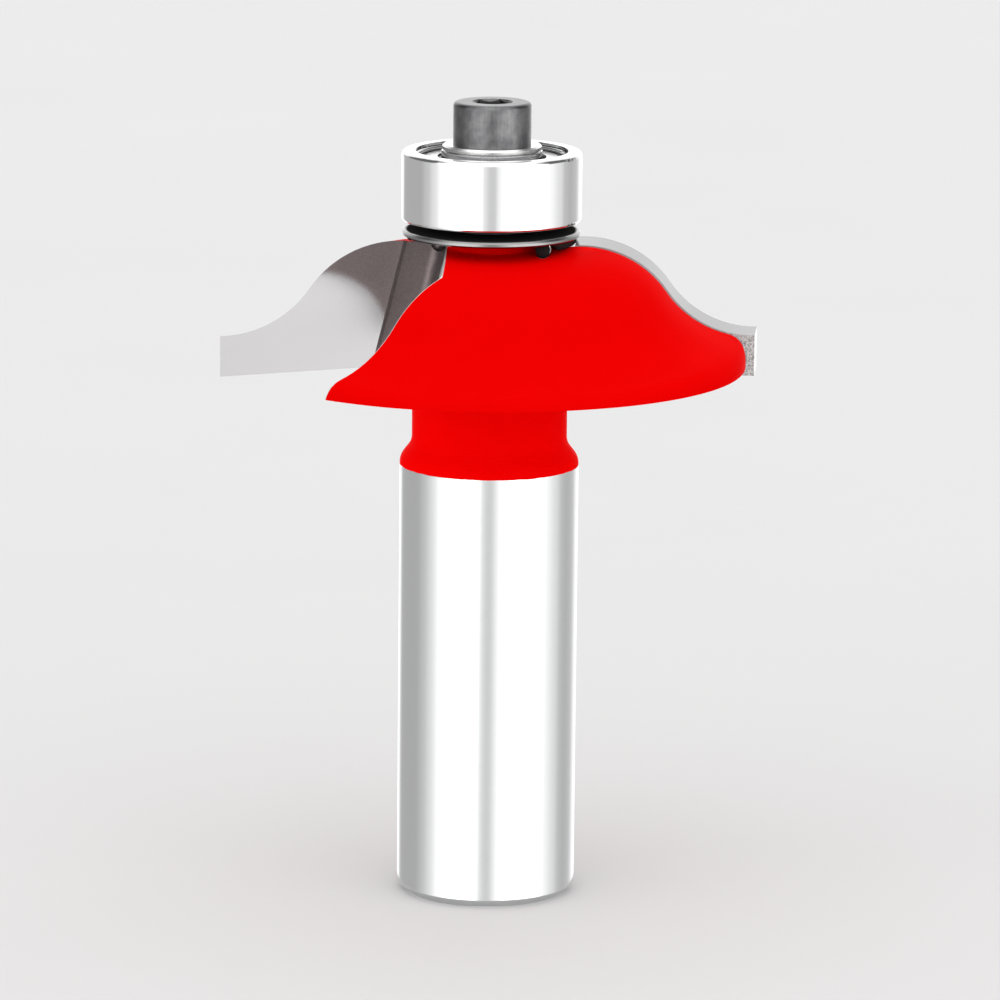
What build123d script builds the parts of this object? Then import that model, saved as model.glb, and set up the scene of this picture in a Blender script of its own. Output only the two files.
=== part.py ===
from build123d import *
import os
from math import asin, atan, cos, degrees, hypot, radians, sin, sqrt, tan

# Roman ogee router bit: a turned and milled steel cutter with two brazed carbide tips,
# guided by a shielded ball bearing that a cap screw holds on the pilot at the top.
# All sizes are millimetres. The shank stands on z = 0 and turns about +Z, anticlockwise
# seen from the bearing. Tip 1 points along +X, and its rake face looks along +Y.

# Shank and neck
SHANK_D = 12.7             # half-inch shank
SHANK_L = 31.5             # end face to the start of the step down to the neck
SHANK_CHAMFER = 0.6
NECK_D = 11.0
NECK_STEP_L = 1.1          # height of the slanted step between shank and neck
NECK_BLEND_R = 1.2         # rounds both corners of that step
NECK_L = 5.4               # from the step to the underside of the head
HEAD_ROOT_R = 1.5          # fillet between the neck and the head

# Cutting profile, as the tips sweep it
CUT_D = 38.4
OGEE_WIDTH = 12.6          # radial width of the two arcs together
OGEE_DROP = 6.63           # height of the two arcs together
EDGE_H = 2.9               # straight outer edge below the arcs
TIP_FLAT = 0.35            # level stretch inside the upper arc
TIP_HANG = 0.4             # how far the tips reach below the head

# Carbide tips
TIP_T = 1.9
RAKE_LEAD = 0.4            # the rake faces lie this far ahead of the axis
RADIAL_RELIEF = 0.5        # how far the back edge lies inside the cutting edge
AXIAL_RELIEF = 0.33        # how far it lies below the cutting edge
TIP_BASE_SLOPE = 2.9       # degrees that the tips' lower edge climbs towards the axis

# Head, turned just under the relieved profile
HEAD_INSET = 1.1           # how far the head lies inside the cutting edge
HEAD_SINK = 0.07           # step from the tips' back edge down to the steel
NOSE_R = 1.65
HEAD_BASE_R = 0.35
LAND_RELIEF = 5.5          # degrees that the steel behind each tip falls away from its seat

# Gullets, milled in front of each tip down to the web
WEB_HALF = 2.98            # half the web at the top of the boss
ROOT_SWING = 8.06          # degrees from the root wall to the normal of the rake face
ROOT_LEAN = 0.25           # the web thickens by this much a side for each mm down
GULLET_ANGLE = 33.2        # degrees from the far wall to the rake face
GULLET_OFFSET = 4.35       # distance of the far wall from the axis
GULLET_R = 1.0             # corner radius at the root
GULLET_RUNOUT = 5.0        # how far the milling passes below the head

# Groove that the slotting wheel leaves across the top of the head
WHEEL_D = 66.0
WHEEL_T = 1.0
WHEEL_X = 3.89             # where the wheel crosses the X axis
WHEEL_DEPTH = 0.75
WHEEL_AHEAD = 0.9          # its lowest point lies this far ahead of the axis

# Boss and pilot that carry the bearing
BOSS_D = 7.2
BOSS_H = 0.67
PILOT_CHAMFER = 0.3
PILOT_SHORT = 0.3          # the pilot stops this far below the top of the inner ring
THREAD_RUNOUT = 1.4        # the tapped hole is deeper than the screw by this much
DRILL_POINT = 118.0        # degrees, the cone at the bottom of the hole

# Washers
SHIELD_WASHER_D = 12.6
SHIELD_WASHER_T = 0.4
SPACER_D = 6.6
SPACER_T = 0.63
WASHER_D = 7.0
WASHER_T = 0.45
WASHER_EDGE = 0.12

# Ball bearing, 3/16 x 1/2 x 0.196 inch
BORE_D = 4.7625
BEARING_D = 12.7
BEARING_W = 4.978
BALL_D = 2.381
BALL_COUNT = 7
PITCH_D = 8.731
INNER_LAND_D = 7.1
OUTER_LAND_D = 10.3
OUTER_CORNER_R = 0.3
BORE_CORNER_R = 0.2
SHIELD_SEAT_D = 10.76      # counterbore that the shield drops into
SHIELD_SEAT_DEPTH = 0.74
SHIELD_T = 0.17
SHIELD_BORE_D = 7.66
SHIELD_DISH = 0.14         # the inner zone of the shield stands out by this much
SHIELD_DISH_D = 9.3
SNAP_WIRE_D = 0.34
SNAP_RING_GAP = 26.0       # degrees left open between the ends of the wire
CAGE_INNER_D = 7.9
CAGE_OUTER_D = 9.6
CAGE_T = 0.2

# Socket head cap screw, M3
SCREW_D = 3.0
SCREW_L = 8.0
SCREW_HEAD_D = 5.5
SCREW_HEAD_H = 3.0
SCREW_EDGE = 0.3
HEX_AF = 2.5
HEX_DEPTH = 1.4

# Fits
PILOT_FIT = 0.01           # radial, pilot in the bearing's bore and the washers
BALL_FIT = 0.03            # ball to raceway
POCKET_FIT = 0.06          # ball to cage pocket
SHIELD_FIT = 0.04          # shield and snap ring in the outer ring
THREAD_FIT = 0.02          # screw in the tapped hole
WASHER_FIT = 0.1           # washer on the screw

# Levels, from the shank's end up
neck_z = SHANK_L + NECK_STEP_L
head_base_z = neck_z + NECK_L
edge_base_z = head_base_z - TIP_HANG
corner_z = edge_base_z + EDGE_H
crest_z = corner_z + OGEE_DROP
head_top_z = crest_z - AXIAL_RELIEF - HEAD_SINK
boss_top_z = head_top_z + BOSS_H
spacer_z = boss_top_z + SHIELD_WASHER_T
bearing_z = spacer_z + SPACER_T
bearing_mid_z = bearing_z + BEARING_W / 2
washer_z = bearing_z + BEARING_W
screw_head_z = washer_z + WASHER_T
screw_top_z = screw_head_z + SCREW_HEAD_H
pilot_top_z = washer_z - PILOT_SHORT

# Two equal arcs that meet at the inflection and are level at their outer ends
cut_r = CUT_D / 2
ogee_inner_r = cut_r - OGEE_WIDTH
ogee_r = (OGEE_WIDTH**2 + OGEE_DROP**2) / (4 * OGEE_DROP)
ogee_turn = degrees(asin(OGEE_WIDTH / 2 / ogee_r))

head_r = cut_r - HEAD_INSET
seat_y = RAKE_LEAD - TIP_T
pilot_r = BORE_D / 2 - PILOT_FIT
screw_r = SCREW_D / 2 - THREAD_FIT
ball_r = BALL_D / 2
pitch_r = PITCH_D / 2

# The snap ring lies on the shield, half its wire in the wall of the counterbore
shield_z = washer_z - SHIELD_SEAT_DEPTH
snap_r = SHIELD_SEAT_D / 2
snap_z = shield_z + SHIELD_T + SNAP_WIRE_D / 2


def polar(centre, radius, angle):
    """The point at an angle, in degrees, on a circle round a centre."""
    turn = radians(angle)
    return (centre[0] + radius * cos(turn), centre[1] + radius * sin(turn))


def ogee(inset, sink, end_r):
    """Both arcs of the profile, moved inwards and down, cut off at the radius end_r."""
    crest = (ogee_inner_r - inset, crest_z - sink - ogee_r)
    hollow = (cut_r - inset, corner_z - sink + ogee_r)
    first = -90 - ogee_turn
    last = -90 - degrees(asin((hollow[0] - end_r) / ogee_r))
    convex = [polar(crest, ogee_r, 90 - ogee_turn * part) for part in (0, 0.5, 1)]
    concave = [polar(hollow, ogee_r, first + (last - first) * part) for part in (0, 0.5, 1)]
    return [ThreePointArc(*convex), ThreePointArc(*concave)]


def rounded(sketch, x, y, radius):
    """Rounds the corner of a flat sketch that lies nearest to the point (x, y)."""
    return fillet(sketch.vertices().sort_by_distance((x, y, 0))[0], radius)


def turned(sketch, arc=360):
    """Turns a sketch drawn as (radius, height) about the bit's axis."""
    return revolve(Plane.XZ * sketch, Axis.Z, arc)


def ring(inner_r, outer_r, base_z, height):
    """A plain turned ring, or a disc when its inner radius is 0."""
    middle = Pos((inner_r + outer_r) / 2, base_z + height / 2)
    return turned(middle * Rectangle(outer_r - inner_r, height))


def rims(solid):
    """The circular edges of a turned solid, from the smallest to the largest."""
    return solid.edges().filter_by(GeomType.CIRCLE).sort_by(SortBy.RADIUS)


def head_outline(base_z):
    """Half section of the turned head above the level base_z."""
    arcs = ogee(RADIAL_RELIEF, AXIAL_RELIEF + HEAD_SINK, head_r)
    crest = arcs[0] @ 0
    rim = arcs[1] @ 1
    outline = make_face(arcs + [
        Polyline(
            (rim.X, rim.Y),
            (head_r, base_z),
            (0, base_z),
            (0, crest.Y),
            (crest.X, crest.Y),
        )
    ])
    return rounded(outline, rim.X, rim.Y, NOSE_R)


def turned_blank():
    """Shank, neck, head, boss and pilot before milling."""
    shank_r = SHANK_D / 2
    neck_r = NECK_D / 2
    boss_r = BOSS_D / 2
    outline = head_outline(head_base_z) + make_face(Polyline(
        (0, 0),
        (shank_r - SHANK_CHAMFER, 0),
        (shank_r, SHANK_CHAMFER),
        (shank_r, SHANK_L),
        (neck_r, neck_z),
        (neck_r, head_base_z),
        (boss_r, head_base_z),
        (boss_r, boss_top_z),
        (pilot_r, boss_top_z),
        (pilot_r, pilot_top_z - PILOT_CHAMFER),
        (pilot_r - PILOT_CHAMFER, pilot_top_z),
        (0, pilot_top_z),
        close=True,
    ))
    outline = rounded(outline, head_r, head_base_z, HEAD_BASE_R)
    outline = rounded(outline, neck_r, head_base_z, HEAD_ROOT_R)
    outline = rounded(outline, neck_r, neck_z, NECK_BLEND_R)
    outline = rounded(outline, shank_r, SHANK_L, NECK_BLEND_R)
    return turned(outline)


def land_relief():
    """What is ground off behind tip 1, so that the land falls away from the seat plane."""
    hinge = Pos(0, seat_y, corner_z)
    land = hinge * Rot(LAND_RELIEF, 0, 0) * hinge.inverse() * turned(head_outline(neck_z))
    height = boss_top_z - head_base_z
    space = Pos(0, seat_y - CUT_D / 2, head_base_z + height / 2) * Box(CUT_D, CUT_D, height)
    return space - land - ring(0, BOSS_D / 2, head_base_z, height)


def tapped_hole():
    """Bore for the screw's thread, with a countersunk mouth and a drilled point."""
    bore_r = SCREW_D / 2
    base_z = screw_head_z - SCREW_L - THREAD_RUNOUT
    point_h = bore_r / tan(radians(DRILL_POINT / 2))
    return turned(make_face(Polyline(
        (0, base_z - point_h),
        (bore_r, base_z),
        (bore_r, pilot_top_z - PILOT_CHAMFER),
        (bore_r + PILOT_CHAMFER, pilot_top_z),
        (0, pilot_top_z),
        close=True,
    )))


def gullet():
    """The space milled away ahead of tip 1: seat plane, leaning root wall and far wall."""
    swing = tan(radians(ROOT_SWING))
    slope = tan(radians(GULLET_ANGLE))
    far_rise = GULLET_OFFSET / cos(radians(GULLET_ANGLE))
    far_y = (far_rise + WEB_HALF * slope) / (1 - swing * slope)
    seat_corner = (WEB_HALF + seat_y * swing, seat_y)
    far_corner = (WEB_HALF + far_y * swing, far_y)
    plan = make_face(Polyline(
        seat_corner,
        (CUT_D, seat_y),
        (CUT_D, far_rise + CUT_D * slope),
        far_corner,
        close=True,
    ))
    plan = rounded(plan, *seat_corner, GULLET_R)
    plan = rounded(plan, *far_corner, GULLET_R)
    drop = boss_top_z - head_base_z + GULLET_RUNOUT
    return extrude(Pos(0, 0, boss_top_z) * plan, drop * hypot(1, ROOT_LEAN), dir=(ROOT_LEAN, 0, -1))


def wheel_groove():
    """The shallow round-bottomed groove that the slotting wheel leaves beside the boss."""
    wheel_r = WHEEL_D / 2
    rim_r = WHEEL_T / 2
    section = Pos(0, (wheel_r - rim_r) / 2) * Rectangle(WHEEL_T, wheel_r - rim_r)
    section += Pos(0, wheel_r - rim_r) * Circle(rim_r)
    path = Pos(WHEEL_X, 0, head_top_z - WHEEL_DEPTH) * Rot(0, 0, -ROOT_SWING)
    path *= Rot(0, -degrees(atan(ROOT_LEAN)), 0) * Pos(0, WHEEL_AHEAD, wheel_r)
    wheel = path * revolve(section, Axis.X)
    return wheel & ring(0, head_r, boss_top_z - CUT_D, CUT_D)


def cutter_body():
    """The steel body, milled and drilled from the turned blank."""
    body = turned_blank() - tapped_hole()
    for turn in (0, 180):
        body -= Rot(0, 0, turn) * land_relief()
        body -= Rot(0, 0, turn) * gullet()
        body -= Rot(0, 0, turn) * wheel_groove()
    return body


def carbide_tip():
    """Tip 1: its rake face, drawn as (x, z), swept back along the ground relief."""
    inner_x = ogee_inner_r - TIP_FLAT
    base_slope = tan(radians(TIP_BASE_SLOPE))
    inner_h = crest_z - edge_base_z - (cut_r - inner_x) * base_slope
    heel_x = inner_x + inner_h * ROOT_LEAN / (1 - ROOT_LEAN * base_slope)
    arcs = ogee(0, 0, cut_r)
    rake_face = make_face(arcs + [
        Polyline(
            (cut_r, corner_z),
            (cut_r, edge_base_z),
            (heel_x, edge_base_z + (cut_r - heel_x) * base_slope),
            (inner_x, crest_z),
            (ogee_inner_r, crest_z),
        )
    ])
    back = Vector(-RADIAL_RELIEF, -TIP_T, -AXIAL_RELIEF)
    return extrude(Pos(0, RAKE_LEAD, 0) * (Plane.XZ * rake_face), back.length, dir=back)


def flat_washer(hole_r, outer_r, base_z, height):
    """A washer on the bit's axis with its outer edges eased."""
    washer = ring(hole_r, outer_r, base_z, height)
    return chamfer(rims(washer)[-2:], WASHER_EDGE)


def flipped(shape):
    """The same shape at the other end of the bearing."""
    return mirror(shape, Plane.XY.offset(bearing_mid_z))


def raceway():
    """The ring-shaped space that the balls sweep, with their running clearance."""
    return turned(Pos(pitch_r, bearing_mid_z) * Circle(ball_r + BALL_FIT))


def inner_ring():
    """The ring clamped on the pilot, with a ball groove round it."""
    body = ring(BORE_D / 2, INNER_LAND_D / 2, bearing_z, BEARING_W)
    return fillet(rims(body)[:2], BORE_CORNER_R) - raceway()


def outer_ring():
    """The ring that rolls along the work, counterbored at both ends for shield and wire."""
    body = ring(OUTER_LAND_D / 2, BEARING_D / 2, bearing_z, BEARING_W)
    body = fillet(rims(body)[-2:], OUTER_CORNER_R) - raceway()
    recess = ring(0, SHIELD_SEAT_D / 2, shield_z, SHIELD_SEAT_DEPTH)
    recess += turned(Pos(snap_r, snap_z) * Circle(SNAP_WIRE_D / 2 + SHIELD_FIT))
    return body - recess - flipped(recess)


def shield():
    """Pressed cover: a flat rim in the outer ring and a raised zone round the inner ring."""
    rim_r = SHIELD_SEAT_D / 2 - SHIELD_FIT
    dish_r = SHIELD_DISH_D / 2
    lower = [
        (rim_r, shield_z),
        (dish_r + SHIELD_DISH, shield_z),
        (dish_r, shield_z + SHIELD_DISH),
        (SHIELD_BORE_D / 2, shield_z + SHIELD_DISH),
    ]
    upper = [(r, z + SHIELD_T) for r, z in reversed(lower)]
    return turned(make_face(Polyline(*lower, *upper, close=True)))


def snap_ring():
    """Open ring of round wire that holds a shield in the outer ring."""
    wire = turned(Pos(snap_r, snap_z) * Circle(SNAP_WIRE_D / 2), 360 - SNAP_RING_GAP)
    return Rot(0, 0, SNAP_RING_GAP / 2) * wire


def ball_place(number):
    """The centre of one ball, on the pitch circle."""
    return Rot(0, 0, 360 / BALL_COUNT * number) * Pos(pitch_r, 0, bearing_mid_z)


def cage_half():
    """Upper half of the pressed ribbon: a flat strip that bulges over each ball."""
    pocket_r = ball_r + POCKET_FIT
    band = ring(CAGE_INNER_D / 2, CAGE_OUTER_D / 2, bearing_mid_z, BEARING_W / 2)
    ribbon = ring(CAGE_INNER_D / 2, CAGE_OUTER_D / 2, bearing_mid_z, CAGE_T)
    for number in range(BALL_COUNT):
        ribbon += ball_place(number) * Sphere(pocket_r + CAGE_T) & band
    for number in range(BALL_COUNT):
        ribbon -= ball_place(number) * Sphere(pocket_r)
    return ribbon


def cap_screw():
    """Socket head cap screw: its thread is a plain cylinder that just clears the hole."""
    head = ring(0, SCREW_HEAD_D / 2, screw_head_z, SCREW_HEAD_H)
    head = fillet(head.edges().sort_by(Axis.Z)[-1], SCREW_EDGE)
    shaft = ring(0, screw_r, screw_head_z - SCREW_L, SCREW_L)
    shaft = chamfer(shaft.edges().sort_by(Axis.Z)[0], SCREW_EDGE)
    hexagon = RegularPolygon(HEX_AF / 2, 6, major_radius=False)
    socket = extrude(Pos(0, 0, screw_top_z) * hexagon, -HEX_DEPTH)
    corner_r = HEX_AF / sqrt(3)
    mouth_h = corner_r - HEX_AF / 2
    mouth = turned(make_face(Polyline(
        (0, screw_top_z - mouth_h),
        (HEX_AF / 2, screw_top_z - mouth_h),
        (corner_r, screw_top_z),
        (0, screw_top_z),
        close=True,
    )))
    return head + shaft - socket - mouth


def parts():
    """Every piece in its place, by name."""
    tip = carbide_tip()
    half = cage_half()
    cover = shield()
    wire = snap_ring()
    pieces = {
        "cutter_body": cutter_body(),
        "carbide_tip_1": tip,
        "carbide_tip_2": Rot(0, 0, 180) * tip,
        "shield_washer": flat_washer(BORE_D / 2, SHIELD_WASHER_D / 2, boss_top_z, SHIELD_WASHER_T),
        "bearing_spacer": flat_washer(BORE_D / 2, SPACER_D / 2, spacer_z, SPACER_T),
        "bearing_inner_ring": inner_ring(),
        "bearing_outer_ring": outer_ring(),
        "cage_upper": half,
        "cage_lower": flipped(half),
        "shield_upper": cover,
        "shield_lower": flipped(cover),
        "snap_ring_upper": wire,
        "snap_ring_lower": flipped(wire),
        "screw_washer": flat_washer(SCREW_D / 2 + WASHER_FIT, WASHER_D / 2, washer_z, WASHER_T),
        "cap_screw": cap_screw(),
    }
    for number in range(BALL_COUNT):
        pieces[f"ball_{number + 1}"] = ball_place(number) * Sphere(ball_r)
    return pieces


os.makedirs("parts", exist_ok=True)
for name, piece in parts().items():
    export_step(piece, f"parts/{name}.step")
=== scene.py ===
"""Looks of a Roman ogee router bit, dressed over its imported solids.

Lengths are metres where Blender takes them. Sizes named in millimetres end in _MM, and the
materials work in millimetres too, because their grain is that fine.
"""

import math

import bmesh
import bpy
from mathutils import Matrix, Vector


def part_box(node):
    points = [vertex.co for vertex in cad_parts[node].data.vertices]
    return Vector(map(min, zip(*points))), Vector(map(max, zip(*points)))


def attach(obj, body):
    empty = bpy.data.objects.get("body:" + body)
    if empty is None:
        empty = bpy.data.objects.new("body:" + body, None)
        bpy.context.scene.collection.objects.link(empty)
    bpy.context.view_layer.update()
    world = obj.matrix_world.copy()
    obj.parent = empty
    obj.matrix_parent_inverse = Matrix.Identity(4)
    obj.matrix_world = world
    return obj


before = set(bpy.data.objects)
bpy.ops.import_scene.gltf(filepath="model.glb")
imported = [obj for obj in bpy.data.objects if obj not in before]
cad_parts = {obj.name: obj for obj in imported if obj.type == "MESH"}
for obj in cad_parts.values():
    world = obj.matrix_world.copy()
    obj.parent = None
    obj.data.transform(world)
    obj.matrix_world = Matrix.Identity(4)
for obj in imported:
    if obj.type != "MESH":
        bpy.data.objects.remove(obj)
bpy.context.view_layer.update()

MM = 0.001
PER_MM = 1 / MM

# Camera. It stands in front of the bit and looks slightly down on it.
CAMERA_TURN = math.radians(-8.06)      # about +Z, away from looking along +Y
CAMERA_PITCH = math.radians(11.479)    # downwards
CAMERA_ROLL = math.radians(0.563)
CAMERA_DISTANCE = 0.43485
CAMERA_HEIGHT = 0.11664
CAMERA_ASIDE = 0.0008                  # to the right of the bit's axis
FOCAL_PX = 6245.5
PICTURE_PX = 1000
SENSOR_MM = 36.0

# Gullets and wheel grooves, as the solids have them
SEAT_Y_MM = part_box("carbide_tip_1")[0].y * PER_MM
RAKE_Y_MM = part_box("carbide_tip_1")[1].y * PER_MM
TIP_BASE_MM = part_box("carbide_tip_1")[0].z * PER_MM
CREST_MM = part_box("carbide_tip_1")[1].z * PER_MM
BOSS_TOP_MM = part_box("shield_washer")[0].z * PER_MM
BOSS_H_MM = 0.67
HEAD_TOP_MM = BOSS_TOP_MM - BOSS_H_MM
WEB_HALF_MM = 2.98
ROOT_SWING = math.radians(8.06)
ROOT_LEAN = 0.25
GULLET_ANGLE = math.radians(33.2)
GULLET_OFFSET_MM = 4.35
WHEEL_R_MM = 33.0
WHEEL_HALF_MM = 0.5
WHEEL_X_MM = 3.89
WHEEL_DEPTH_MM = 0.75
WHEEL_AHEAD_MM = 0.9

# The coating and the bare faces
PAINT_EDGE_MM = 31.0                   # the coating ends here, just above the shank's cylinder
NECK_PAINTED_LIGHT_MM = (36.8, 37.8)           # painted light: the coating is made lighter below this height, on the neck where the head shades it, and within this of the head's top, by the boss where the washer shades it, by this factor
BOSS_PAINTED_LIGHT_MM = 0.25                   # and lighter by the boss, within this of the head's top
PAINTED_LIGHT_LIFT = 1.3                       # by this factor
MASK_EDGE_MM = (-0.05, -0.015)         # how near a cut's faces its mask turns from 0 to 1
RAKE_SLOPES = (-0.06, -0.22)           # the ground rake faces look a little down, more so at the top
REFLECTION_X_MM = 12.1                      # painted reflection: the rake faces are darkened outside a circle round this point, on the side of the axis and above
REFLECTION_Z_MM = 40.2                      # round this point, on the side of the axis and above
REFLECTION_R_MM = 4.7
WASHER_SHADE_EDGE_MM = (6.05, 6.3)             # the painted shade on the washer, under the bearing, ends between these radii

# Painted shade in the gaps: dark fillings under the washer and in the grooves, one of them solder-like.
# Along a groove, minus is towards its outer end.
SHADE_PIECE_R_MM = 6.05                        # the painted shade under the washer reaches this far
SHADE_PIECE_INNER_R_MM = 5.2
SHADE_PIECE_THICK_MM = 0.47
SHADE_PIECE_SWEEP_DEG = (-49, -8)              # from the +X axis, on the side of tip 1
GROOVE_SHADE_PIECE_MM = (-3.2, -4.7)
GROOVE_SEAT_PLUG_MM = (SEAT_Y_MM - 0.03, SEAT_Y_MM - 1.2)
FILL_GAP_MM = 0.03                     # between a filling and the groove's walls

CONTACT_R = 0.0078                     # the shaded floor under the bit, which its chamfer mirrors

# The studio's light by direction: degrees round from the camera, to the right, and brightness
LEVEL_LIGHT = (
    (-180, 1.7), (-160, 1.5), (-146, 0.62), (-104, 0.64), (-90, 0.85), (-78, 1.2), (-66, 1.7),
    (-50, 3.0), (-17, 3.0), (-9, 1.25), (-1, 0.95), (4, 0.95), (10, 1.45), (19, 2.0), (26, 3.0),
    (66, 3.0), (81, 1.55), (99, 1.16), (109, 0.8), (121, 0.7), (135, 0.78), (156, 1.45), (180, 1.7),
)
UPPER_LIGHT = (
    (-180, 1.65), (-150, 1.5), (-130, 0.2), (-85, 0.2), (-70, 2.2), (-12, 2.4), (12, 2.4),
    (70, 2.2), (85, 0.2), (130, 0.2), (150, 1.5), (180, 1.65),
)
LIGHT_FULL_SCALE = 4.0
TOP_LIGHT = 2.2
MATT_LIGHT = (0.98, 1.04)              # what matt surfaces get from below and from above
BACKDROP = 0.86


class Shader:
    """Builds a node tree a step at a time. A value is a number or another node's output."""

    def __init__(self, tree):
        self.tree = tree
        self.tree.nodes.clear()

    def node(self, kind, **settings):
        made = self.tree.nodes.new(kind)
        for name, value in settings.items():
            setattr(made, name, value)
        return made

    def put(self, value, socket):
        if isinstance(value, bpy.types.NodeSocket):
            self.tree.links.new(value, socket)
        else:
            socket.default_value = value

    def math(self, operation, *values, clamp=False):
        made = self.node("ShaderNodeMath", operation=operation, use_clamp=clamp)
        for value, socket in zip(values, made.inputs):
            self.put(value, socket)
        return made.outputs[0]

    def vector(self, operation, *values):
        made = self.node("ShaderNodeVectorMath", operation=operation)
        for value, socket in zip(values, made.inputs):
            self.put(value, socket)
        return made.outputs["Value" if operation in ("DOT_PRODUCT", "LENGTH") else "Vector"]

    def scaled(self, vector, factor):
        made = self.node("ShaderNodeVectorMath", operation="SCALE")
        self.put(vector, made.inputs[0])
        self.put(factor, made.inputs["Scale"])
        return made.outputs[0]

    def axes(self, vector):
        made = self.node("ShaderNodeSeparateXYZ")
        self.put(vector, made.inputs[0])
        return made.outputs[:]

    def joined(self, *values):
        made = self.node("ShaderNodeCombineXYZ")
        for value, socket in zip(values, made.inputs):
            self.put(value, socket)
        return made.outputs[0]

    def step(self, value, low, high, start=0.0, end=1.0):
        """Goes smoothly from start to end as the value goes from low to high."""
        made = self.node("ShaderNodeMapRange", interpolation_type="SMOOTHSTEP")
        for given, socket in zip((value, low, high, start, end), made.inputs):
            self.put(given, socket)
        return made.outputs[0]

    def blend(self, factor, first, second):
        """Mixes two numbers."""
        made = self.node("ShaderNodeMix", data_type="FLOAT")
        for given, socket in zip((factor, first, second), (made.inputs[0], made.inputs[2], made.inputs[3])):
            self.put(given, socket)
        return made.outputs[0]

    def tint(self, factor, first, second):
        """Mixes two colours."""
        made = self.node("ShaderNodeMix", data_type="RGBA")
        for given, socket in zip((factor, first, second), (made.inputs[0], made.inputs[6], made.inputs[7])):
            self.put(given, socket)
        return made.outputs[2]

    def noise(self, vector, scale, detail=3.0, roughness=0.55):
        made = self.node("ShaderNodeTexNoise")
        self.put(vector, made.inputs["Vector"])
        self.put(scale, made.inputs["Scale"])
        self.put(detail, made.inputs["Detail"])
        self.put(roughness, made.inputs["Roughness"])
        return made.outputs["Fac"]

    def ramp(self, value, stops):
        made = self.node("ShaderNodeValToRGB")
        made.color_ramp.interpolation = "EASE"
        elements = made.color_ramp.elements
        while len(elements) < len(stops):
            elements.new(0.5)
        for element, (place, level) in zip(elements, stops):
            element.position = place
            element.color = (level, level, level, 1)
        self.put(value, made.inputs[0])
        return made.outputs[0]


class Material(Shader):
    """One principled material, with its surface point in millimetres as x, y and z."""

    def __init__(self, name):
        self.material = bpy.data.materials.new(name)
        self.material.use_nodes = True
        super().__init__(self.material.node_tree)
        self.surface = self.node("ShaderNodeBsdfPrincipled")
        output = self.node("ShaderNodeOutputMaterial")
        self.put(self.surface.outputs[0], output.inputs["Surface"])
        self.point = self.scaled(self.node("ShaderNodeTexCoord").outputs["Object"], PER_MM)
        self.x, self.y, self.z = self.axes(self.point)
        self.relief = None

    def set(self, **values):
        for name, value in values.items():
            self.put(value, self.surface.inputs[name.replace("_", " ")])

    def squeezed(self, x, y, z):
        """The point with each axis multiplied, so that a pattern stretches along small factors."""
        return self.vector("MULTIPLY", self.point, (x, y, z))

    def bump(self, height, depth_mm, strength=1.0):
        made = self.node("ShaderNodeBump")
        self.put(height, made.inputs["Height"])
        made.inputs["Distance"].default_value = depth_mm * MM
        self.put(strength, made.inputs["Strength"])
        if self.relief is not None:
            self.put(self.relief, made.inputs["Normal"])
        self.relief = made.outputs[0]
        self.put(self.relief, self.surface.inputs["Normal"])

    def lean(self, slope, share):
        """Tips the surface's normal, as a face ground at a slight angle has it."""
        normal = self.node("ShaderNodeNewGeometry").outputs["Normal"]
        tipped = self.vector("ADD", normal, self.scaled(slope, share))
        self.relief = self.vector("NORMALIZE", tipped)

    def radius(self):
        return self.math("SQRT", self.math("ADD", self.math("MULTIPLY", self.x, self.x),
                                           self.math("MULTIPLY", self.y, self.y)))

    def turned_grain(self, pitch_mm):
        """Fine rings round the bit's axis, as turning and grinding leave, broken a little."""
        return self.noise(self.squeezed(0.12, 0.12, 1), 1 / pitch_mm, 4, 0.7)


def in_gullet(m, side):
    """Three masks of the milled faces in the gullet of tip 1, or of tip 2 for side -1: all of
    them, the seat plane with its rounded corner, and the walls away from the seat."""
    x = m.math("MULTIPLY", m.x, side)
    y = m.math("MULTIPLY", m.y, side)
    lean = m.math("MULTIPLY_ADD", m.math("SUBTRACT", m.z, BOSS_TOP_MM), ROOT_LEAN, x)
    seat = m.math("SUBTRACT", y, SEAT_Y_MM)
    root = m.math("SUBTRACT", m.math("MULTIPLY_ADD", y, -math.tan(ROOT_SWING), lean), WEB_HALF_MM)
    rise = m.math("MULTIPLY_ADD", lean, math.sin(GULLET_ANGLE), GULLET_OFFSET_MM)
    far = m.math("MULTIPLY_ADD", y, -math.cos(GULLET_ANGLE), rise)
    depth = m.math("MINIMUM", m.math("MINIMUM", seat, root), far)
    milled = m.step(depth, *MASK_EDGE_MM)
    on_seat = m.step(seat, 0.45, 1.15, 1, 0)
    away_from_seat = m.step(seat, 1.2, 4.5)
    return milled, m.math("MULTIPLY", milled, on_seat), m.math("MULTIPLY", milled, away_from_seat)


def groove_frame():
    """Where the wheel's groove is deepest, and the turn from its own axes to the part's."""
    turn = Matrix.Rotation(-ROOT_SWING, 3, "Z") @ Matrix.Rotation(-math.atan(ROOT_LEAN), 3, "Y")
    return Vector((WHEEL_X_MM, 0, HEAD_TOP_MM - WHEEL_DEPTH_MM)), turn


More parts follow.
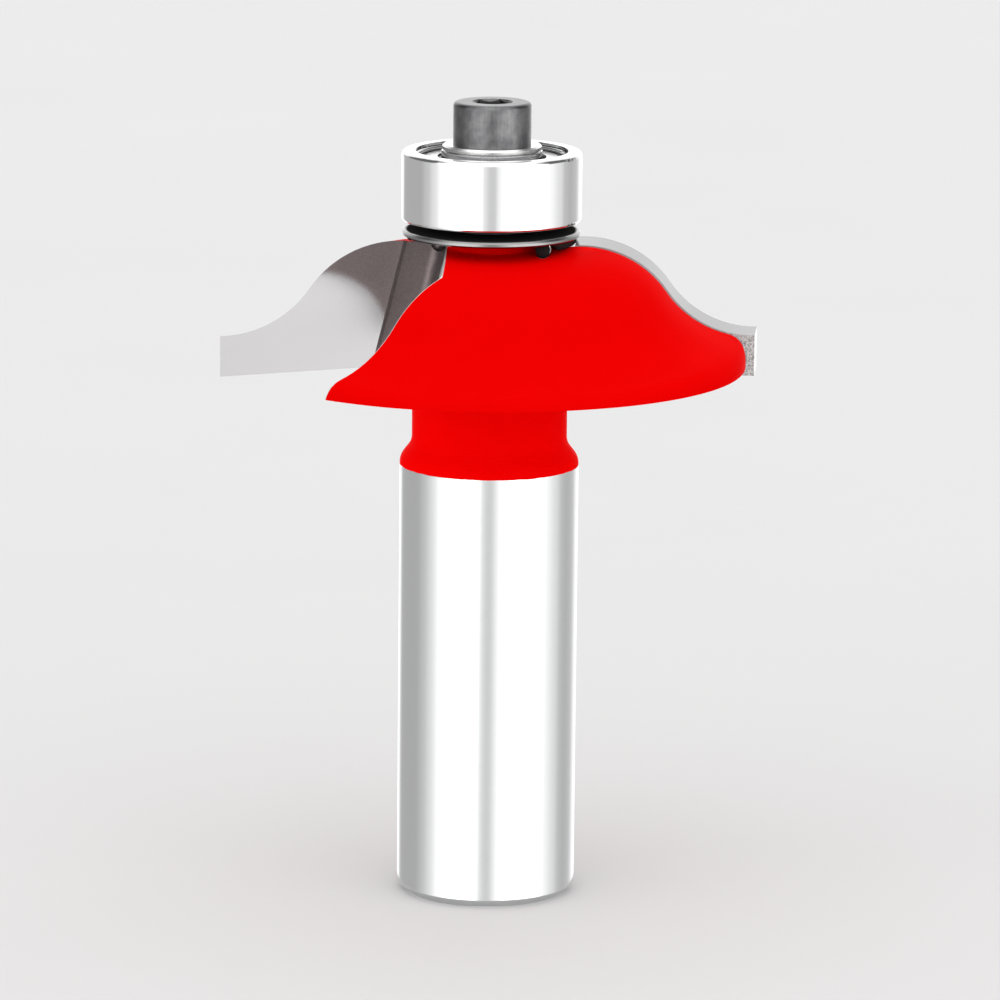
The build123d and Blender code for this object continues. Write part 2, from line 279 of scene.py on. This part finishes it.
def in_wheel_groove(m, side):
    """A mask of the round-bottomed groove that the slotting wheel left beside the boss."""
    start, turn = groove_frame()
    point = m.vector("MULTIPLY", m.point, (side, side, 1))
    local = m.vector("SUBTRACT", point, tuple(start))
    across = m.vector("DOT_PRODUCT", local, tuple(turn.col[0]))
    along = m.math("SUBTRACT", m.vector("DOT_PRODUCT", local, tuple(turn.col[1])), WHEEL_AHEAD_MM)
    up = m.math("SUBTRACT", m.vector("DOT_PRODUCT", local, tuple(turn.col[2])), WHEEL_R_MM)
    reach = m.vector("LENGTH", m.joined(along, up, 0))
    below = m.math("MAXIMUM", m.math("SUBTRACT", reach, WHEEL_R_MM - WHEEL_HALF_MM), 0)
    depth = m.math("SUBTRACT", WHEEL_HALF_MM, m.vector("LENGTH", m.joined(across, below, 0)))
    return m.step(depth, *MASK_EDGE_MM)


def painted_reflection_tone(m):
    """Painted reflection: a speckled brownish dark colour for what the ground faces by the seat mirror."""
    return m.tint(m.noise(m.point, 9, 5, 0.75), (0.115, 0.09, 0.09, 1), (0.28, 0.235, 0.235, 1))


def body_material():
    """Red coating over the neck and head; ground steel on the shank and bare milled gullets."""
    m = Material("red_coating_and_steel")
    grooved = m.math("MAXIMUM", in_wheel_groove(m, 1), in_wheel_groove(m, -1))
    both = zip(in_gullet(m, 1), in_gullet(m, -1))
    gullets, seats, away_from_seat = (m.math("MAXIMUM", *sides) for sides in both)
    milled = m.math("MAXIMUM", gullets, grooved)
    grooved = m.math("SUBTRACT", grooved, gullets, clamp=True)
    ragged = m.math("MULTIPLY_ADD", m.noise(m.point, 1.4, 4), 0.12, PAINT_EDGE_MM - 0.06)
    above_shank = m.step(m.math("SUBTRACT", m.z, ragged), -0.012, 0.012)
    covered = m.math("MULTIPLY", above_shank, m.math("SUBTRACT", 1, milled, clamp=True))

    # The coating: even red, a little deeper in clouds, finely sprayed, with painted light on the neck and
    # by the boss, where the head and the washer shade it
    clouds = m.noise(m.point, 0.35, 2)
    red = m.tint(clouds, (0.72, 0.0004, 0.0004, 1), (0.76, 0.0006, 0.0006, 1))
    # Painted light: the red is lighter on the neck and by the boss, where the head and the washer shade it.
    red = m.scaled(red, m.step(m.z, *NECK_PAINTED_LIGHT_MM, PAINTED_LIGHT_LIFT, 1))
    red = m.scaled(red, m.step(m.z, HEAD_TOP_MM - BOSS_PAINTED_LIGHT_MM, HEAD_TOP_MM, 1, PAINTED_LIGHT_LIFT))
    sprayed = m.noise(m.point, 6, 3, 0.6)

    # The shank: cylindrical grinding leaves fine rings and a few deeper ones
    rings = m.turned_grain(0.05)
    bands = m.turned_grain(0.7)
    ground = m.tint(rings, (0.565, 0.570, 0.575, 1), (0.655, 0.655, 0.655, 1))
    ground_rough = m.math("MULTIPLY_ADD", bands, 0.08, m.math("MULTIPLY_ADD", rings, 0.07, 0.10))

    # The gullets: cutter marks run up and down, a painted reflection tints the seat brownish dark, and a
    # painted highlight makes the walls brighter and partly matt away from it. Painted shade makes the
    # wheel's groove near black and matt inside.
    marks = m.noise(m.squeezed(3.0, 9.0, 0.8), 1.5, 4, 0.65)
    streaks = m.step(marks, 0.3, 0.7)
    cut = m.tint(streaks, (0.27, 0.262, 0.258, 1), (0.50, 0.49, 0.48, 1))
    painted_highlight = m.tint(streaks, (0.52, 0.51, 0.50, 1), (0.80, 0.79, 0.78, 1))
    # Painted reflection: the seat is brownish dark. Painted highlight: the walls away from it are brighter.
    cut = m.tint(away_from_seat, m.tint(seats, cut, painted_reflection_tone(m)), painted_highlight)
    # Painted shade: inside the wheel's groove the colour is near black.
    cut = m.tint(grooved, cut, (0.012, 0.012, 0.012, 1))

    bare = m.tint(milled, ground, cut)
    bare_rough = m.blend(milled, ground_rough, m.math("MULTIPLY_ADD", marks, 0.16, 0.3))
    # Matt on the coating and the painted shade in the groove, and partly on the painted highlight and the
    # painted reflection.
    matt = m.math("MAXIMUM", covered, m.math("MAXIMUM", grooved, m.math("MULTIPLY", away_from_seat, 0.55)))
    matt = m.math("MAXIMUM", matt, m.math("MULTIPLY", seats, 0.5))
    m.set(Base_Color=m.tint(covered, bare, red))
    m.set(Metallic=m.math("SUBTRACT", 1, matt))
    m.set(Roughness=m.blend(covered, bare_rough, m.math("MULTIPLY_ADD", sprayed, 0.12, 0.34)))
    m.set(Specular_IOR_Level=0.001)
    m.bump(covered, 0.02)
    m.bump(sprayed, 0.004, m.math("MULTIPLY", covered, 0.5))
    m.bump(rings, 0.0006, m.math("SUBTRACT", 1, covered))
    m.bump(marks, 0.004, milled)
    return m.material


def carbide_material():
    """Tungsten carbide: fine ground faces, darkened towards the axis by a painted reflection, and the dark
    grainy skin of sintering on the back, which grinding has reached near the crest."""
    m = Material("tungsten_carbide")
    depth = m.math("MULTIPLY", m.y, m.math("SIGN", m.x))
    skin = m.step(depth, SEAT_Y_MM + 0.01, SEAT_Y_MM + 0.05, 1, 0)
    lines = m.noise(m.squeezed(0.6, 1.0, 14.0), 1.6, 4, 0.7)
    grain = m.noise(m.point, 9, 5, 0.75)
    face = m.tint(m.blend(0.5, lines, grain), (0.375, 0.365, 0.37, 1), (0.43, 0.425, 0.43, 1))
    rough_skin = m.tint(m.step(grain, 0.38, 0.62), (0.12, 0.115, 0.115, 1), (0.42, 0.41, 0.40, 1))
    on_rake = m.step(m.math("SUBTRACT", RAKE_Y_MM, depth), 0.02, 0.04, 1, 0)
    face = m.tint(on_rake, m.scaled(face, 0.72), face)
    to_crest = m.step(m.z, TIP_BASE_MM + 2.2, TIP_BASE_MM + 4)
    rough_skin = m.tint(to_crest, rough_skin, m.scaled(face, 0.8))
    # Painted reflection: outside a circle round a point above and towards the axis, the rake faces turn
    # brownish dark and half matt.
    inward = m.math("MAXIMUM", m.math("SUBTRACT", REFLECTION_X_MM, m.math("ABSOLUTE", m.x)), 0)
    upward = m.math("MAXIMUM", m.math("SUBTRACT", m.z, REFLECTION_Z_MM), 0)
    out = m.math("MULTIPLY_ADD", grain, 0.4, m.vector("LENGTH", m.joined(inward, upward, 0)))
    painted_reflection_mask = m.math("MULTIPLY", on_rake, m.step(out, REFLECTION_R_MM - 0.05, REFLECTION_R_MM + 0.55))
    m.set(Base_Color=m.tint(skin, m.tint(painted_reflection_mask, face, painted_reflection_tone(m)), rough_skin))
    m.set(Metallic=m.math("MULTIPLY_ADD", painted_reflection_mask, -0.5, 1), Specular_IOR_Level=0.05)
    m.set(Roughness=m.blend(skin, m.math("MULTIPLY_ADD", grain, 0.10, 0.10), 0.55))
    slope = m.step(m.z, TIP_BASE_MM + 1.9, CREST_MM - 2.6, *RAKE_SLOPES)
    m.lean(m.joined(0, 0, slope), on_rake)
    m.bump(grain, 0.012, m.math("MULTIPLY_ADD", skin, 0.8, 0.04))
    m.bump(lines, 0.001, m.math("SUBTRACT", 0.6, m.math("MULTIPLY", skin, 0.6)))
    return m.material


def steel_material(name, dark, light, rough, grain_mm=0.06, depth_mm=0.0005, speckle=0.05):
    """Turned or ground steel: its colour and gloss vary along fine rings and in soft clouds."""
    m = Material(name)
    rings = m.turned_grain(grain_mm)
    clouds = m.noise(m.point, 0.8, 3)
    m.set(Base_Color=m.tint(m.blend(0.3, rings, clouds), (*dark, 1), (*light, 1)), Metallic=1.0)
    worn = m.math("MULTIPLY_ADD", clouds, speckle, m.math("MULTIPLY", rings, speckle))
    m.set(Roughness=m.math("ADD", worn, rough - speckle / 2))
    m.bump(rings, depth_mm)
    return m.material


def washer_material():
    """Dull plated washer, with painted shade, dark and matt, on the part that the bearing covers."""
    m = Material("plated_washer")
    rings = m.turned_grain(0.09)
    clouds = m.noise(m.point, 0.8, 3)
    up = m.axes(m.node("ShaderNodeNewGeometry").outputs["Normal"])[2]
    reach = m.math("MULTIPLY_ADD", clouds, 0.3, m.radius())
    # Painted shade: upward faces under the bearing are dark and matt.
    washer_shade = m.math("MULTIPLY", m.step(up, 0.2, 0.6), m.step(reach, *WASHER_SHADE_EDGE_MM, 1, 0))
    plated = m.tint(m.blend(0.3, rings, clouds), (0.17, 0.17, 0.17, 1), (0.26, 0.26, 0.255, 1))
    m.set(Base_Color=m.tint(washer_shade, plated, (0.028, 0.028, 0.028, 1)))
    m.set(Metallic=m.math("SUBTRACT", 1, washer_shade), Specular_IOR_Level=0.0)
    m.set(Roughness=m.math("MULTIPLY_ADD", rings, 0.12, 0.16))
    m.bump(rings, 0.001)
    return m.material


def oxide_material(name, dark, light, rough):
    """Black oxide: dark, with a fine matt grain that has rubbed a little lighter."""
    m = Material(name)
    grain = m.noise(m.point, 16, 4, 0.7)
    drawn = m.noise(m.squeezed(9, 9, 0.5), 1.2, 4, 0.7)
    clouds = m.noise(m.point, 1.1, 3)
    shade = m.blend(0.5, m.blend(0.5, grain, drawn), clouds)
    m.set(Base_Color=m.tint(m.step(shade, 0.34, 0.66), (*dark, 1), (*light, 1)), Metallic=1.0)
    m.set(Roughness=m.math("MULTIPLY_ADD", grain, 0.14, rough))
    m.bump(grain, 0.0035, 0.7)
    m.bump(drawn, 0.003, 0.5)
    return m.material


def dress(material, *nodes):
    for name in nodes:
        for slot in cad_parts[name].material_slots:
            slot.material = material


def dress_solids():
    polished = steel_material("polished_bearing_steel", (0.60, 0.60, 0.605), (0.66, 0.66, 0.66), 0.06)
    pressed = steel_material("pressed_stainless_steel", (0.58, 0.58, 0.59), (0.66, 0.66, 0.67), 0.16)
    wire = steel_material("bright_wire", (0.46, 0.46, 0.47), (0.58, 0.58, 0.58), 0.18)
    plated = steel_material("bright_plating", (0.60, 0.60, 0.60), (0.70, 0.69, 0.68), 0.2, 0.09, 0.001, 0.1)
    screw = oxide_material("black_oxide_screw", (0.075, 0.075, 0.08), (0.15, 0.15, 0.15), 0.28)
    spacer = oxide_material("black_oxide_spacer", (0.03, 0.03, 0.032), (0.06, 0.06, 0.06), 0.4)
    dress(body_material(), "cutter_body")
    dress(carbide_material(), "carbide_tip_1", "carbide_tip_2")
    dress(polished, "bearing_outer_ring", "bearing_inner_ring")
    dress(polished, *[f"ball_{number}" for number in range(1, 8)])
    dress(pressed, "shield_upper", "shield_lower", "cage_upper", "cage_lower")
    dress(wire, "snap_ring_upper", "snap_ring_lower")
    dress(washer_material(), "shield_washer")
    dress(plated, "screw_washer")
    dress(screw, "cap_screw")
    dress(spacer, "bearing_spacer")


def painted_shade_material():
    """Painted shade: a dark matt filling, put in the gaps where they lie in shadow."""
    m = Material("painted_shade_in_gaps")
    grain = m.noise(m.point, 5, 4, 0.7)
    m.set(Base_Color=m.tint(grain, (0.012, 0.012, 0.012, 1), (0.035, 0.034, 0.034, 1)))
    m.set(Roughness=m.math("MULTIPLY_ADD", grain, 0.3, 0.5), Specular_IOR_Level=0.0)
    m.bump(grain, 0.03)
    return m.material


def solder_like_shade_material():
    """Painted shade: a solder-like filling at the groove's end by the seat, in the same painted reflection
    tone as the seat beside it.
    """
    m = Material("painted_shade_solder_tone")
    m.set(Base_Color=painted_reflection_tone(m), Metallic=0.5, Specular_IOR_Level=0.05)
    m.set(Roughness=m.math("MULTIPLY_ADD", m.noise(m.point, 3, 4), 0.16, 0.3))
    m.bump(m.noise(m.point, 2.4, 4, 0.6), 0.03)
    return m.material


def placed(name, plan, material):
    """Makes an object of a finished bmesh."""
    mesh = bpy.data.meshes.new(name)
    plan.to_mesh(mesh)
    plan.free()
    mesh.materials.append(material)
    piece = bpy.data.objects.new(name, mesh)
    bpy.context.scene.collection.objects.link(piece)
    return piece


def skinned(name, side, rings, material):
    """A piece on the cutter, skinned over rings of points that are given in millimetres for
    the side of tip 1. Side -1 is the same turned half round."""
    plan = bmesh.new()
    rows = [[plan.verts.new(Vector((side * x, side * y, z)) * MM) for x, y, z in ring]
            for ring in rings]
    for row, following in zip(rows, rows[1:]):
        for place, corner in enumerate(row):
            after = (place + 1) % len(row)
            plan.faces.new((corner, row[after], following[after], following[place]))
    plan.faces.new(rows[0])
    plan.faces.new(rows[-1])
    bmesh.ops.recalc_face_normals(plan, faces=plan.faces)
    for face in plan.faces:
        face.smooth = True
    piece = placed(f"{name}_{1 if side > 0 else 2}", plan, material)
    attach(piece, "cutter")


def shade_under_washer(side, material):
    """Painted shade under the washer above the land's crest, a dark piece with a wavering edge."""
    high = BOSS_TOP_MM - 0.02
    first, last = SHADE_PIECE_SWEEP_DEG
    rings = []
    for step in range(25):
        share = step / 24
        angle = math.radians(first + (last - first) * share)
        thick = 0.06 + SHADE_PIECE_THICK_MM * min(1, 9 * share, 9 * (1 - share))
        reach = SHADE_PIECE_R_MM + 0.05 * math.sin(17 * share + 1)
        section = (
            (SHADE_PIECE_INNER_R_MM, high),
            (SHADE_PIECE_INNER_R_MM + 0.1, high - thick * 0.8),
            (reach - 0.25, high - thick),
            (reach - 0.04, high - thick * 0.6),
            (reach, high),
        )
        rings.append([(r * math.cos(angle), r * math.sin(angle), z) for r, z in section])
    skinned("shade_under_washer", side, rings, material)


def filled_groove(name, side, ends, top, material):
    """A filling between two places along the wheel's groove, up to a height over its bottom."""
    start, turn = groove_frame()
    half = WHEEL_HALF_MM - FILL_GAP_MM
    rings = []
    for step in range(8):
        along = ends[0] + (ends[1] - ends[0]) * step / 7
        sunk = math.sqrt((WHEEL_R_MM - WHEEL_HALF_MM) ** 2 - (along - WHEEL_AHEAD_MM) ** 2)
        centre = WHEEL_R_MM - sunk
        angles = [math.pi * (1 + part / 8) for part in range(9)]
        section = [(half * math.cos(angle), centre + half * math.sin(angle)) for angle in angles]
        for across in (half, -half):
            level = (top - across * turn[2][0]) / turn[2][2]
            section.append((across, max(level, centre + 0.02)))
        rings.append([start + turn @ Vector((across, along, up)) for across, up in section])
    skinned(name, side, rings, material)


def dress_gaps():
    """Painted shade: a dark filling closes the outer end of each groove, and a solder-like one its end at
    the seat; more lies under the washer.
    """
    gap_shade = painted_shade_material()
    seat_plug = solder_like_shade_material()
    for side in (1, -1):
        # Painted shade: dark fillings under the washer and in each groove's outer end.
        shade_under_washer(side, gap_shade)
        filled_groove("shade_in_groove", side, GROOVE_SHADE_PIECE_MM, WHEEL_DEPTH_MM + BOSS_H_MM - 0.04,
                      gap_shade)
        # Painted shade: a solder-like filling in the painted reflection tone closes each groove's end at
        # the seat.
        filled_groove("shade_plug_at_seat", side, GROOVE_SEAT_PLUG_MM, WHEEL_DEPTH_MM - 0.02,
                      seat_plug)


def floor():
    """A plain pale floor that fills every view of the bit."""
    m = Material("pale_floor")
    paper = m.noise(m.point, 0.02, 4)
    m.set(Base_Color=m.tint(paper, (0.66, 0.66, 0.66, 1), (0.69, 0.69, 0.69, 1)))
    m.set(Roughness=0.9, Specular_IOR_Level=0.1)
    plan = bmesh.new()
    bmesh.ops.create_grid(plan, x_segments=8, y_segments=8, size=3)
    piece = placed("floor", plan, m.material)
    piece.visible_glossy = False


def contact():
    """The floor that the bit's chamfer mirrors where it stands. Nothing else sees it."""
    m = Material("contact_shadow")
    m.set(Base_Color=(0.75, 0.75, 0.75, 1), Roughness=1.0, Specular_IOR_Level=0.0)
    plan = bmesh.new()
    bmesh.ops.create_circle(plan, cap_ends=True, segments=64, radius=CONTACT_R)
    piece = placed("contact", plan, m.material)
    piece.location.z = 0.02 * MM
    piece.visible_camera = False
    piece.visible_diffuse = False
    piece.visible_shadow = False


def studio():
    """Soft light from all round: a wide box on each side of the camera, a back and a top. Matt
    surfaces get an even light, and the camera sees a plain backdrop."""
    world = bpy.data.worlds.new("studio")
    bpy.context.scene.world = world
    world.use_nodes = True
    w = Shader(world.node_tree)
    direction = w.node("ShaderNodeTexCoord").outputs["Generated"]
    right = (math.cos(CAMERA_TURN), math.sin(CAMERA_TURN), 0)
    nearer = (math.sin(CAMERA_TURN), -math.cos(CAMERA_TURN), 0)
    round_angle = w.math("ARCTAN2", w.vector("DOT_PRODUCT", direction, right),
                         w.vector("DOT_PRODUCT", direction, nearer))
    place = w.math("MULTIPLY_ADD", round_angle, 0.5 / math.pi, 0.5)

    def band(table):
        return w.ramp(place, [(0.5 + angle / 360, level / LIGHT_FULL_SCALE) for angle, level in table])

    height = w.axes(direction)[2]
    level_up = w.step(height, math.sin(math.radians(2)), math.sin(math.radians(14)))
    overhead = w.step(height, math.sin(math.radians(48)), math.sin(math.radians(66)))
    sides = w.blend(level_up, band(LEVEL_LIGHT), band(UPPER_LIGHT))
    light = w.blend(overhead, sides, TOP_LIGHT / LIGHT_FULL_SCALE)
    ray = w.node("ShaderNodeLightPath")
    matt = w.step(height, -1, 1, *[level / LIGHT_FULL_SCALE for level in MATT_LIGHT])
    light = w.blend(ray.outputs["Is Diffuse Ray"], light, matt)
    light = w.blend(ray.outputs["Is Camera Ray"], light, BACKDROP / LIGHT_FULL_SCALE)
    background = w.node("ShaderNodeBackground")
    w.put(light, background.inputs["Color"])
    background.inputs["Strength"].default_value = LIGHT_FULL_SCALE
    output = w.node("ShaderNodeOutputWorld")
    w.put(background.outputs[0], output.inputs["Surface"])


def camera():
    """The photograph's point of view."""
    lens = bpy.data.cameras.new("camera")
    lens.sensor_width = SENSOR_MM
    lens.lens = FOCAL_PX / PICTURE_PX * SENSOR_MM
    lens.clip_start = 0.01
    lens.clip_end = 20
    seat = bpy.data.objects.new("camera", lens)
    bpy.context.scene.collection.objects.link(seat)
    turn = Matrix.Rotation(CAMERA_TURN, 4, "Z")
    place = turn @ Matrix.Translation((CAMERA_ASIDE, -CAMERA_DISTANCE, CAMERA_HEIGHT))
    tilt = Matrix.Rotation(math.pi / 2 - CAMERA_PITCH, 4, "X")
    seat.matrix_world = place @ tilt @ Matrix.Rotation(CAMERA_ROLL, 4, "Z")
    bpy.context.scene.camera = seat


dress_solids()
dress_gaps()
floor()
contact()
studio()
camera()
bpy.context.scene.view_settings.view_transform = "Standard"
